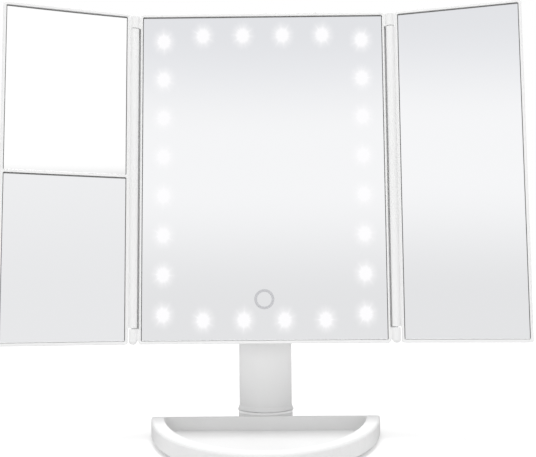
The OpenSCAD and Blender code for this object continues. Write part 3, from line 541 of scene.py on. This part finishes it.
def pane_grid(x0, x1, z0, z1, front_y, dish, steps):
    """Front and back grids of a pane: x and z spread evenly inside a ring of bevel width, and the
    front sinks by dish * (1 - r^2) with r = 1 at the pane's corners; the outermost ring steps back
    by the bevel's depth."""
    def spread(low, high):
        return np.concatenate([[low], np.linspace(low + BEVEL, high - BEVEL, steps), [high]])

    x, z = np.meshgrid(spread(x0, x1), spread(z0, z1), indexing="ij")
    u = (2 * x - x0 - x1) / (x1 - x0)
    v = (2 * z - z0 - z1) / (z1 - z0)
    hollow = dish * (1 - (u * u + v * v) / 2)
    rim = (np.abs(u) == 1) | (np.abs(v) == 1)
    front = np.stack([x, front_y + hollow + BEVEL_DEPTH * rim, z], -1)
    back = np.stack([x, np.full_like(x, front_y + GLASS), z], -1)
    return front, back


def closed_plate(front, back):
    """Vertices and quads of the closed body between two equal grids, facing outwards where the
    front faces -Y with x rising."""
    n, m = front.shape[:2]
    points = np.concatenate([front.reshape(-1, 3), back.reshape(-1, 3)])
    index = np.arange(n * m).reshape(n, m)
    loop = np.concatenate([index[:-1, 0], index[-1, :-1], index[:0:-1, -1], index[0, :0:-1]])
    following = np.roll(loop, -1)
    faces = np.concatenate([
        grid_faces(n, m), grid_faces(n, m)[:, ::-1] + n * m,
        np.stack([following, loop, loop + n * m, following + n * m], -1)])
    return points, faces


def make_pane(name, box, front_y, dish, place, finish, node, body):
    """Builds one pane in its panel's drawing, carries it to its place, and lets it stand for its
    solid. The left wing's drawing is mirrored, so its faces are turned round."""
    steps = DISH_STEPS if dish else FLAT_STEPS
    points, faces = closed_plate(*pane_grid(*box, front_y, dish, steps))
    if body == "left_wing":
        faces = faces[:, ::-1]
    piece = new_piece(name, place(points), faces, finish, smooth=bool(dish))
    if dish:
        piece.data.set_sharp_from_angle(angle=math.radians(20))
    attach(piece, body)
    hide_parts(node)
    print(name, "faces:", len(piece.data.polygons))


def wing_mirror(name, side, z0, z1, tint_with_painted_light):
    """Silvered glass of a wing's pane, with distances to its edges in the wing's directions."""
    f = new_finish(name)
    hinge = Vector(on_wing((0, 0, 0), side))
    across = (Vector(on_wing((1, 0, 0), side)) - hinge).normalized()
    out = f.along(across) - hinge.dot(across) / MM
    up = f.up_panel()
    edge = (out - WING_PANE_X[0]).least(WING_PANE_X[1] - out).least(up - (z0 - LOWER_SLACK))
    colour, roughness, metal = silver(f, edge, z1 - up, tint_with_painted_light)
    f.surface(Base_Color=colour, Roughness=roughness, Metallic=metal)


def on_left(points):
    """A place on the left wing."""
    return on_wing(points, "left")


def on_right(points):
    """A place on the right wing."""
    return on_wing(points, "right")


LOWEST, HIGHEST = -PANEL_HALF_HEIGHT, PANEL_HALF_HEIGHT
# The silver's level differs a little from pane to pane: painted light over the silver's own colour.
wing_mirror("upper_left_mirror", "left", BAR_HIGH, HIGHEST, tint_with_painted_light=0.97)
wing_mirror("lower_left_mirror", "left", LOWEST, BAR_LOW, tint_with_painted_light=0.977)
wing_mirror("right_mirror", "right", LOWEST, HIGHEST, tint_with_painted_light=0.965)
make_pane("center_pane", (-PANEL_HALF_WIDTH, PANEL_HALF_WIDTH, LOWEST, HIGHEST), GLASS_FRONT, FLAT,
          on_panel, "lit_mirror", "center_glass", "head")
make_pane("left_upper_pane", (*WING_PANE_X, BAR_HIGH, HIGHEST), WING_PANE_Y, UPPER_DISH,
          on_left, "upper_left_mirror", "left_upper_mirror", "left_wing")
make_pane("left_lower_pane", (*WING_PANE_X, LOWEST, BAR_LOW), WING_PANE_Y, LOWER_DISH,
          on_left, "lower_left_mirror", "left_lower_mirror", "left_wing")
make_pane("right_pane", (*WING_PANE_X, LOWEST, HIGHEST), WING_PANE_Y, FLAT,
          on_right, "right_mirror", "right_wing_mirror", "right_wing")

# %% [markdown]
# The remaining finishes are seen from behind, below or when the lid is off. First come the soft
# ones: a rubber pad with a fine pebble, a waxy bearing plastic, and foam tape with open cells.

# %% Rubber, bearing plastic and foam
rubber = new_finish("black_rubber")
pebble = rubber.node("ShaderNodeTexVoronoi", {"feature": "SMOOTH_F1"}, {
    "Vector": rubber.place(), "Scale": 1 / (0.8 * MM), "Smoothness": 0.6}, "Distance")
rubber.surface(
    Base_Color=rubber.blend(rubber.noise(9), grey(0.022), grey(0.040, 0.97)),
    Roughness=0.72 + 0.15 * pebble, Normal=rubber.bump(1 - pebble, 0.06))

bearing = new_finish("bearing_plastic")
bearing.surface(
    Base_Color=bearing.blend(bearing.noise(6), (0.62, 0.61, 0.56, 1), (0.70, 0.69, 0.64, 1)),
    Roughness=0.42 + 0.1 * bearing.noise(2), Normal=bearing.bump(bearing.noise(0.4), 0.01))

foam = new_finish("foam_tape")
cells = foam.noise(0.35, detail=4, roughness=0.7)
foam.surface(
    Base_Color=foam.blend(cells, grey(0.62), grey(0.80)),
    Roughness=0.85 + 0.1 * cells, Normal=foam.bump(cells, 0.05))
print("soft finishes:", len(finishes))

# %% [markdown]
# Screws, pins, the axle and the cell contacts are plated. A plated part comes out of its tumbler
# with small dull patches, so one noise drives its colour, its roughness and a faint relief.

# %% Metals
def plated(name, colour, roughness, size_mm):
    """Plated metal whose dull patches are of about the given size."""
    f = new_finish(name)
    drift = f.noise(size_mm, detail=5, roughness=0.65)
    f.surface(
        Base_Color=f.blend(drift, tuple(c * 0.9 for c in colour[:3]) + (1,), colour),
        Metallic=1.0, Roughness=roughness + 0.18 * drift,
        Normal=f.bump(drift, 0.012, f.soft_edges(0.12)))


plated("steel", (0.60, 0.60, 0.62, 1), roughness=0.22, size_mm=1.4)
plated("contact_metal", (0.70, 0.68, 0.62, 1), roughness=0.18, size_mm=1.0)
print("metals ready")

# %% [markdown]
# The boards are green varnish over copper runs, which stand a little proud of it. The runs lie
# across in some patches and upwards in the others. A lamp is a soft yellow gel that glows.

# %% Circuit boards and lamps
RUN_PITCH, RUN_WIDTH = 1.3, (0.30, 0.34, 0.62, 0.66)

board = new_finish("circuit_board")
run_across = (board.along((1, 0, 0)) / RUN_PITCH).math("FRACT").between(*RUN_WIDTH)
run_up = (board.along(PANEL_UP) / RUN_PITCH).math("FRACT").between(*RUN_WIDTH)
patch = board.noise(7, detail=0).ramp(0.47, 0.50)
runs = run_across * patch + run_up * (1 - patch)
varnish = board.blend(runs * 0.8, (0.006, 0.070, 0.030, 1), (0.020, 0.150, 0.060, 1))
board.surface(
    Base_Color=varnish, Roughness=0.28 + 0.1 * board.noise(3), Normal=board.bump(runs, 0.03))

lamp = new_finish("lamp")
lamp.surface(
    Base_Color=lamp.blend(lamp.noise(0.8), (0.90, 0.86, 0.55, 1), (0.95, 0.93, 0.80, 1)),
    Roughness=0.35 + 0.2 * lamp.noise(0.5),
    Emission_Color=(1.0, 0.98, 0.92, 1), Emission_Strength=0.8)
print("board and lamp ready")

# %% [markdown]
# The cells wear dark sleeves with a plain green band near each end, and their steel ends are bare.
# Where a point lies along its cell says which of the three it is.

# %% Cells in plain sleeves
# Distances in mm: the cells' middle above the axle, then from there along a cell
CELL_MIDDLE = 9.05 + 2.4 + 57.2 / 2
BARE_FROM, BAND_FROM = (23.2, 23.5), (15.0, 15.2)

cell = new_finish("cell_jacket")
from_middle = abs(cell.along(PANEL_UP) - (CELL_MIDDLE + AXLE_HEIGHT * math.cos(LEAN)))
ends = from_middle.ramp(*BARE_FROM)
green_band = from_middle.ramp(*BAND_FROM) * (1 - ends)
sleeve = cell.blend(green_band, (0.055, 0.060, 0.068, 1), (0.10, 0.30, 0.16, 1))
cell.surface(
    Base_Color=cell.blend(ends, sleeve, (0.62, 0.62, 0.60, 1)),
    Metallic=ends, Roughness=0.30 + 0.12 * cell.noise(4) + 0.05 * ends,
    Normal=cell.bump(cell.noise(1.5), 0.01))
print("finishes:", sorted(finishes))

# %% [markdown]
# Every solid now gets the finish its piece has on the real object. A solid's mesh and place stay as
# they were packed; only what fills its material slots changes.

# %% Dress the solids
WEAR = {
    "white_housing": ["back_cover", "tilt_caps", "left_wing_shell", "right_wing_shell",
                      "battery_cover"],
    "white_frame": ["center_frame"],
    "white_post": ["post_front_shell", "post_rear_shell"],
    "white_tray": ["base_tray", "base_plate"],
    "white_knob": ["power_switch"],
    "black_rubber": ["base_pad", "tilt_washers"],
    "bearing_plastic": ["tilt_bush"],
    "foam_tape": ["center_tape", "left_wing_tape", "right_wing_tape", "touch_foam"],
    "steel": ["base_screws", "post_screws", "back_screws", "tilt_bolt", "tilt_nut", "hinge_pins",
              "usb_socket", "switch_body"],
    "contact_metal": ["battery_springs", "battery_plates"],
    "circuit_board": ["led_board", "touch_board", "control_board"],
    "lamp": ["leds"],
    "cell_jacket": ["batteries"],
}
for finish, nodes in WEAR.items():
    for name in nodes:
        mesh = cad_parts[name].data
        if not mesh.materials:
            mesh.materials.append(finishes[finish])
        for number in range(len(mesh.materials)):
            mesh.materials[number] = finishes[finish]
print("dressed:", sum(len(nodes) for nodes in WEAR.values()))
